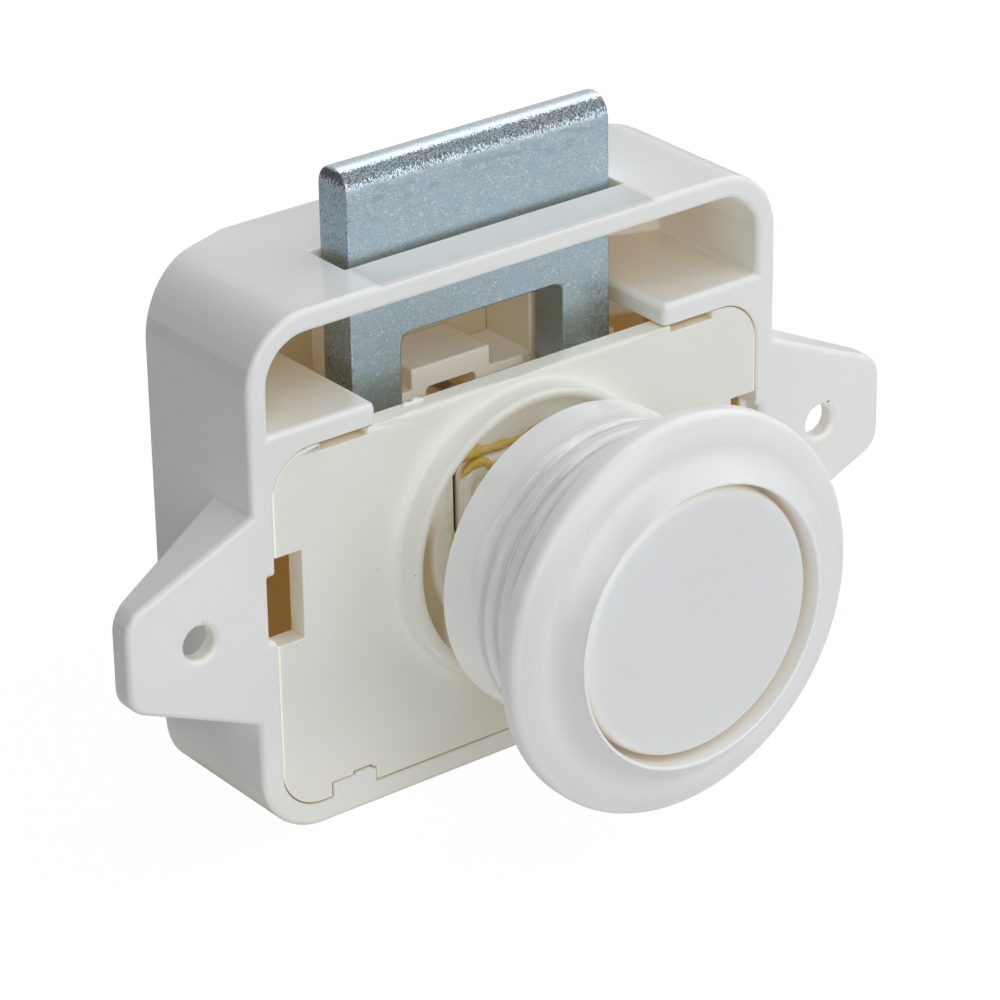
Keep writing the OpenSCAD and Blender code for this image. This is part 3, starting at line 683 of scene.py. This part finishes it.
class LOCK_OT_case(bpy.types.Operator):
    """Case with its ears, shelves and rails"""

    bl_idname = "lock.case"
    bl_label = "Case"

    def execute(self, context):
        finish, detail = context.scene.lock_finish, context.scene.lock_detail
        material = plastic("case_moulding", tuple(finish.case), tuple(finish.deep), rough=0.20,
                           marks=case_marks)
        rounded_copy("case", detail.case_edge, "housing", "case_plastic", material, self.soft,
                     detail.case_rim, crease=19)
        return {"FINISHED"}

    def soft(self, ends):
        """Edges of the front plane outside the cover's opening, and the upper edge of each shelf's end."""
        middle = ends.mean(1)
        side, shelf, bottom = 23.35, 12.82, -17.1
        shelf_end, shelf_top = 13.7, 14.6
        near = 0.01
        front = np.abs(ends[..., 1]).max(1) < near
        opening = (np.abs(middle[:, 0]) < side) & (middle[:, 2] > bottom) & (middle[:, 2] < shelf)
        rail = np.abs(np.abs(ends[..., 0]) - shelf_end).max(1) < near
        rail &= np.abs(ends[..., 2] - shelf_top).max(1) < near
        return front & ~opening | rail


class LOCK_OT_cover(bpy.types.Operator):
    """Cover plate with its collar, a burr on its edge and grease round the slider"""

    bl_idname = "lock.cover"
    bl_label = "Cover"

    def execute(self, context):
        finish, detail = context.scene.lock_finish, context.scene.lock_detail
        material = plastic("cover_moulding", tuple(finish.cover), tuple(finish.deep), rough=0.30,
                           marks=cover_marks)
        rounded_copy("cover_plate", detail.cover_edge, "housing", "cover_plastic", material, self.soft,
                     detail.cover_rim, cuts=24)
        top = high("cover_plate")[2]
        burr_depth, grease_depth = 1.55, 0.16
        burr = [[-10.4, top - 0.05, 0.04], [-9.9, top + 0.03, 0.20], [-9.5, top - 0.02, 0.14],
                [-9.0, top + 0.06, 0.28], [-8.5, top - 0.02, 0.22], [-8.2, top - 0.12, 0.05]]
        points, faces = bead(burr, burr_depth)
        piece("cover_burr", points, faces, "housing", "cover_plastic", material)
        grease = yellow_grease("yellow_grease", tuple(finish.grease))
        edge = 7.64
        upper = [[-6.9, edge - 0.7, 0.06], [-6.4, edge - 0.2, 0.28], [-5.6, edge + 0.14, 0.44],
                 [-4.6, edge + 0.20, 0.52], [-3.9, edge + 0.08, 0.34], [-3.0, edge, 0.26],
                 [-2.2, edge + 0.02, 0.36], [-1.3, edge, 0.22], [-0.3, edge + 0.02, 0.18],
                 [0.9, edge + 0.16, 0.46], [1.9, edge + 0.20, 0.52], [2.6, edge + 0.05, 0.28],
                 [3.3, edge, 0.04]]
        points, faces = bead(upper, grease_depth, 120)
        piece("grease_upper", points, faces, "housing", "cover_plastic", grease)
        side = [[-6.74, 1.9, 0.04], [-6.76, 1.2, 0.18], [-6.8, 0.4, 0.26], [-6.76, -0.5, 0.2],
                [-6.72, -1.6, 0.04]]
        points, faces = bead(side, grease_depth)
        piece("grease_side", points, faces, "housing", "cover_plastic", grease)
        return {"FINISHED"}

    def soft(self, ends):
        """Front edge of the cover's top, rounded less at its ends and where the collar's fillet is near."""
        top, front, near = ends[..., 2].max(), 0.15, 0.01
        chosen = (np.abs(ends[..., 2] - top).max(1) < near) & (np.abs(ends[..., 1] - front).max(1) < near)
        out = np.abs(ends[..., 0].mean(1))
        places, shares = [0.8, 1.8, 2.9, 4.4, 9.5, 11.5], [0.2, 0.27, 0.5, 1.0, 1.0, 0.19]
        return chosen * np.interp(out, places, shares)


class LOCK_OT_bolt(bpy.types.Operator):
    """Plated steel bolt"""

    bl_idname = "lock.bolt"
    bl_label = "Bolt"

    def execute(self, context):
        finish, detail = context.scene.lock_finish, context.scene.lock_detail
        half, nose = float(high("bolt")[0]), float(high("bolt")[2])
        leg, bar = 4.6, 14.1
        material = zinc_plate("zinc_plating", tuple(finish.zinc), nose, half, half - leg, nose - bar)
        rounded_copy("bolt", detail.bolt_edge, "bolt", "zinc_steel", material)
        return {"FINISHED"}


class LOCK_OT_slider(bpy.types.Operator):
    """Cam slider with its stem and a drop of grease, the catch wire and the two springs"""

    bl_idname = "lock.slider"
    bl_label = "Slider"

    def execute(self, context):
        finish, detail = context.scene.lock_finish, context.scene.lock_detail
        material = plastic("slider_moulding", tuple(finish.cover), tuple(finish.deep), rough=0.28,
                           marks=slider_marks)
        rounded_copy("cam_slider", detail.slider_edge, "push_button", "slider_plastic", material)
        rounded_copy("stem", detail.slider_edge, "push_button", "slider_plastic", material)
        front = low("cam_slider")[1]
        half_x, half_z, rim, corner = 6.3, 7.2, 0.6, 1.3
        rim_depth, drop_depth = front + 0.1, front - 0.3
        points, faces = hoop(half_x - rim, half_z - rim, corner, rim_depth, rim)
        piece("slider_rim", points, faces, "push_button", "slider_plastic", material)
        drop = [[-6.1, 6.1, 0.05], [-5.7, 6.55, 0.30], [-5.1, 6.85, 0.38], [-4.4, 6.95, 0.44],
                [-3.9, 6.75, 0.36], [-3.3, 6.35, 0.42], [-2.7, 6.05, 0.38], [-2.2, 5.9, 0.24],
                [-1.9, 5.8, 0.04]]
        points, faces = bead(drop, drop_depth, 90)
        grease = yellow_grease("slider_grease", tuple(finish.grease))
        piece("grease_drop", points, faces, "push_button", "slider_plastic", grease)
        steel = drawn_wire("spring_wire", tuple(finish.wire))
        for node in ("slider_spring_left", "slider_spring_right"):
            self.spring(node, steel)
        self.wire("catch_wire", steel)
        return {"FINISHED"}

    def spring(self, node, steel):
        """Helix about Y: x = R cos a, z = R sin a, with closed end turns.

        It stretches from the case to the slider."""
        lo, hi = low(node), high(node)
        wire, count, steps, closed, closed_rise = 0.45, 7, 28, 0.8, 0.5
        radius = (hi[0] - lo[0] - wire) / 2
        turns = np.linspace(0, count, count * steps + 1)
        tall = hi[1] - lo[1] - wire
        rise = np.interp(turns, [0, closed, count - closed, count],
                         [0, closed_rise, tall - closed_rise, tall])
        a = 2 * np.pi * turns
        out = np.stack([np.cos(a), 0 * a, np.sin(a)], -1)
        middle = np.array([(lo[0] + hi[0]) / 2, lo[1] + wire / 2, (lo[2] + hi[2]) / 2])
        path = middle + radius * out + rise[:, None] * np.array([0, 1, 0])
        points, faces = tube(path, out, wire / 2, 12)
        coil = piece(node + "_coil", points, faces, None, "spring_steel", steel, node)
        rear, front = middle.copy(), middle.copy()
        rear[1], front[1] = hi[1] - wire, lo[1] + wire
        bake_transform(coil)

    def wire(self, node, steel):
        """Wire bent twice in the plane x = 0: tip down, arm along Y, foot up."""
        lo, hi = low(node), high(node)
        r = (hi[0] - lo[0]) / 2
        front, back = lo[1] + r, hi[1] - r
        bend, arm, gap = 2 * r, 8.4, 0.01
        t = np.radians(np.linspace(0, 90, 12))
        tip = np.stack([front + 0 * t[:2], np.array([lo[2], arm - bend - gap])], -1)
        first = np.stack([front + bend - bend * np.cos(t), arm - bend + bend * np.sin(t)], -1)
        second = np.stack([back - bend + bend * np.sin(t), arm + bend - bend * np.cos(t)], -1)
        foot = np.stack([back + 0 * t[:2], np.array([arm + bend + gap, hi[2]])], -1)
        yz = np.concatenate([tip, first, second, foot])
        path = np.insert(yz, 0, 0.0, axis=1)
        across = np.zeros_like(path)
        across[:, 0] = 1
        points, faces = tube(path, across, r, 18)
        piece(node + "_bent", points, faces, "housing", "spring_steel", steel, node)


class LOCK_OT_button(bpy.types.Operator):
    """Button cap with its sleeve and screw"""

    bl_idname = "lock.button"
    bl_label = "Button"

    def execute(self, context):
        finish = context.scene.lock_finish
        material = plastic("button_moulding", tuple(finish.button), tuple(finish.deep), rough=0.36, reach=4.0)
        lo, hi = low("button_cap"), high("button_cap")
        r, face, end = hi[0], lo[1], hi[1]
        edge, wall, thick, chamfer, fillet = 1.0, 0.5, 1.5, 0.1, 0.2
        sleeve_edge, screw_edge = 0.1 * MM, 0.06 * MM
        inner, ceiling = r - wall, face + thick
        profile = np.concatenate([
            [[0, face], [r * 0.5, face]],
            arc(r - edge, face + edge, edge, 90, 0),
            [[r, end - chamfer], [r - chamfer, end], [inner + chamfer, end], [inner, end - chamfer]],
            [[inner, ceiling + fillet], [inner - fillet, ceiling], [r * 0.4, ceiling], [0, ceiling]],
        ])
        points, faces = turned_cup(profile)
        piece("button_cap_turned", points, faces, "push_button", "button_plastic", material, "button_cap")
        rounded_copy("button_sleeve", sleeve_edge, "push_button", "button_plastic", material)
        steel = drawn_wire("screw_steel", tuple(finish.wire))
        rounded_copy("stem_screw", screw_edge, "push_button", "spring_steel", steel)
        return {"FINISHED"}


class LOCK_OT_rosette(bpy.types.Operator):
    """Rosette and the barrel behind it"""

    bl_idname = "lock.rosette"
    bl_label = "Rosette"

    def execute(self, context):
        finish = context.scene.lock_finish
        white = plastic("rosette_moulding", tuple(finish.rosette), tuple(finish.deep), rough=0.24,
                        reach=4.0, marks=rosette_marks)
        self.rosette(white)
        milky = plastic("barrel_moulding", shade(finish.rosette, 1.12), tuple(finish.deep), rough=0.10,
                        reach=2.0, marks=barrel_marks)
        self.barrel(milky)
        return {"FINISHED"}

    def rosette(self, material):
        """Closed outline: socket, rear edge, rim band, edge arc, crowned face, hollow sweep and lip.

        The face rises by a sine towards the valley, and the sweep by 1 - cosine from there to the lip."""
        lo, hi = low("rosette"), high("rosette")
        rim, front, rear = hi[0], lo[1], hi[1]
        throat, socket, step = 11.05, 12.45, 1.1
        back, band, edge, turn = 0.2, 1.0, 0.8, 65
        crown, foot, lip, lip_turn = 0.56, 2.5, 0.16, 25
        outer = arc(rim - edge, rear - band, edge, 0, turn, 16)
        inner = arc(throat + lip, front + lip, lip, lip_turn, 180, 18)
        t = np.linspace(0, 1, 30)[1:-1]
        wave = np.sin(np.pi / 2 * t)
        valley = np.array([throat + foot, outer[-1, 1] - crown])
        face = np.stack([outer[-1, 0] + (valley[0] - outer[-1, 0]) * t, outer[-1, 1] - crown * wave], -1)
        sweep = np.stack([valley[0] + (inner[0, 0] - valley[0]) * t,
                          valley[1] + (inner[0, 1] - valley[1]) * (1 - np.cos(np.pi / 2 * t))], -1)
        profile = np.concatenate([
            [[throat, rear - step], [socket, rear - step], [socket, rear]],
            arc(rim - back, rear - back, back, -90, 0, 6),
            outer, face, [valley], sweep, inner,
        ])
        points, faces = turned_ring(profile)
        piece("rosette_turned", points, faces, "housing", "rosette_plastic", material, "rosette")

    def barrel(self, material):
        """Closed outline: soft ring grooves as a squared cosine wave in front of the plain rear part."""
        lo, hi = low("barrel"), high("barrel")
        r, front, rear = hi[0], lo[1], hi[1]
        wall, depth, rear_edge, bore_edge = 0.8, 0.15, 0.3, 0.2
        inner = r - wall
        t = np.linspace(0, 1, 90)
        groove = depth * ((1 - np.cos(2 * np.pi * BARREL_WAVES * t)) / 2) ** 2
        wave = np.stack([r - groove, rear - BARREL_PLAIN - BARREL_SPAN + BARREL_SPAN * t], -1)
        profile = np.concatenate([
            [[inner, front], [r, front]], wave,
            arc(r - rear_edge, rear - rear_edge, rear_edge, 0, -90, 8),
            arc(inner + bore_edge, rear - bore_edge, bore_edge, -90, -180, 6),
        ])
        points, faces = turned_ring(profile)
        piece("barrel_turned", points, faces, "housing", "barrel_plastic", material, "barrel")


class LOCK_OT_stage(bpy.types.Operator):
    """Camera, lamps, floor and white surroundings"""

    bl_idname = "lock.stage"
    bl_label = "Stage"

    def execute(self, context):
        stage = context.scene.lock_stage
        scene = context.scene
        scene.view_settings.view_transform = "Standard"
        self.camera(scene)
        self.lamp(scene, "key_lamp", KEY_WAY, KEY_SIZE, stage.key)
        self.lamp(scene, "front_lamp", FRONT_WAY, FRONT_SIZE, stage.front)
        self.surroundings(scene, stage)
        self.floor(scene, stage)
        return {"FINISHED"}

    def camera(self, scene):
        """Long lens at the photograph's place."""
        data = bpy.data.cameras.new("camera")
        data.sensor_width = CAMERA_SENSOR
        data.lens = CAMERA_LENS
        data.clip_start = 0.01
        obj = bpy.data.objects.new("camera", data)
        obj.location = CAMERA_PLACE
        obj.rotation_euler = [math.radians(a) for a in CAMERA_TURN]
        scene.collection.objects.link(obj)
        scene.camera = obj

    def lamp(self, scene, name, away, size, power):
        """Square soft lamp in a direction from the lock, turned to it."""
        data = bpy.data.lights.new(name, "AREA")
        data.size = size
        data.energy = power
        data.color = LAMP_COLOUR
        obj = bpy.data.objects.new(name, data)
        place = np.array(away) / np.linalg.norm(away) * LAMP_DISTANCE
        obj.location = place
        obj.rotation_euler = Vector(-place).to_track_quat("-Z", "Y").to_euler()
        scene.collection.objects.link(obj)

    def surroundings(self, scene, stage):
        """World: even light on the object, white to the eye and in reflections."""
        world = bpy.data.worlds.new("surroundings")
        scene.world = world
        world.use_nodes = True
        tree = world.node_tree
        tree.nodes.clear()
        path = tree.nodes.new("ShaderNodeLightPath")
        seen = tree.nodes.new("ShaderNodeMath")
        seen.operation = "MAXIMUM"
        tree.links.new(path.outputs["Is Camera Ray"], seen.inputs[0])
        tree.links.new(path.outputs["Is Glossy Ray"], seen.inputs[1])
        also = tree.nodes.new("ShaderNodeMath")
        also.operation = "MAXIMUM"
        tree.links.new(seen.outputs[0], also.inputs[0])
        tree.links.new(path.outputs["Is Transmission Ray"], also.inputs[1])
        level = tree.nodes.new("ShaderNodeMix")
        level.data_type = "RGBA"
        tree.links.new(also.outputs[0], level.inputs[0])
        level.inputs[6].default_value = (*shade(AMBIENT_COLOUR, stage.ambient), 1)
        level.inputs[7].default_value = (1, 1, 1, 1)
        background = tree.nodes.new("ShaderNodeBackground")
        tree.links.new(level.outputs[2], background.inputs["Color"])
        out = tree.nodes.new("ShaderNodeOutputWorld")
        tree.links.new(background.outputs[0], out.inputs["Surface"])

    def floor(self, scene, stage):
        """Pale floor under the case; nearly white to the eye, with a faint shadow."""
        gap, size = 0.02, 1500.0
        z = low("case")[2] - gap
        corners = [[-size, -size, z], [size, -size, z], [size, size, z], [-size, size, z]]
        mesh = bpy.data.meshes.new("floor")
        mesh.from_pydata((np.array(corners) * MM).tolist(), [], [[0, 1, 2, 3]])
        s = Shader("floor_paper")
        seen = s.node("ShaderNodeLightPath", out="Is Camera Ray")
        paper = s.node("ShaderNodeBsdfDiffuse", inputs={"Color": tuple(stage.floor)})
        white = s.node("ShaderNodeEmission", inputs={"Color": (1, 1, 1), "Strength": FLOOR_WHITE})
        both = s.node("ShaderNodeMixShader", inputs={0: seen * FLOOR_SHARE, 1: paper, 2: white})
        s.node("ShaderNodeOutputMaterial", inputs={"Surface": both})
        mesh.materials.append(s.material)
        obj = bpy.data.objects.new("floor", mesh)
        scene.collection.objects.link(obj)


OPERATORS = (LOCK_OT_case, LOCK_OT_cover, LOCK_OT_bolt, LOCK_OT_slider, LOCK_OT_button, LOCK_OT_rosette,
             LOCK_OT_stage)


class LOCK_PT_sidebar(bpy.types.Panel):
    """Lock settings and steps"""

    bl_label = "Cabinet lock"
    bl_space_type = "VIEW_3D"
    bl_region_type = "UI"
    bl_category = "Lock"

    def draw(self, context):
        for group in (context.scene.lock_finish, context.scene.lock_detail, context.scene.lock_stage):
            for key in group.bl_rna.properties.keys():
                if key not in ("rna_type", "name"):
                    self.layout.prop(group, key)
        for operator in OPERATORS:
            self.layout.operator(operator.bl_idname)


GROUPS = {"lock_finish": LockFinish, "lock_detail": LockDetail, "lock_stage": LockStage}


def register():
    """Adds the settings, the operators and the panel."""
    for group in GROUPS.values():
        bpy.utils.register_class(group)
    for name, group in GROUPS.items():
        setattr(bpy.types.Scene, name, PointerProperty(type=group))
    for operator in OPERATORS:
        bpy.utils.register_class(operator)
    bpy.utils.register_class(LOCK_PT_sidebar)


def unregister():
    """Takes away what register added."""
    bpy.utils.unregister_class(LOCK_PT_sidebar)
    for operator in reversed(OPERATORS):
        bpy.utils.unregister_class(operator)
    for name, group in GROUPS.items():
        delattr(bpy.types.Scene, name)
        bpy.utils.unregister_class(group)


def main():
    """Builds the lock and its stage."""
    register()
    for step in ("case", "cover", "bolt", "slider", "button", "rosette", "stage"):
        getattr(bpy.ops.lock, step)()


if __name__ == "__main__":
    main()
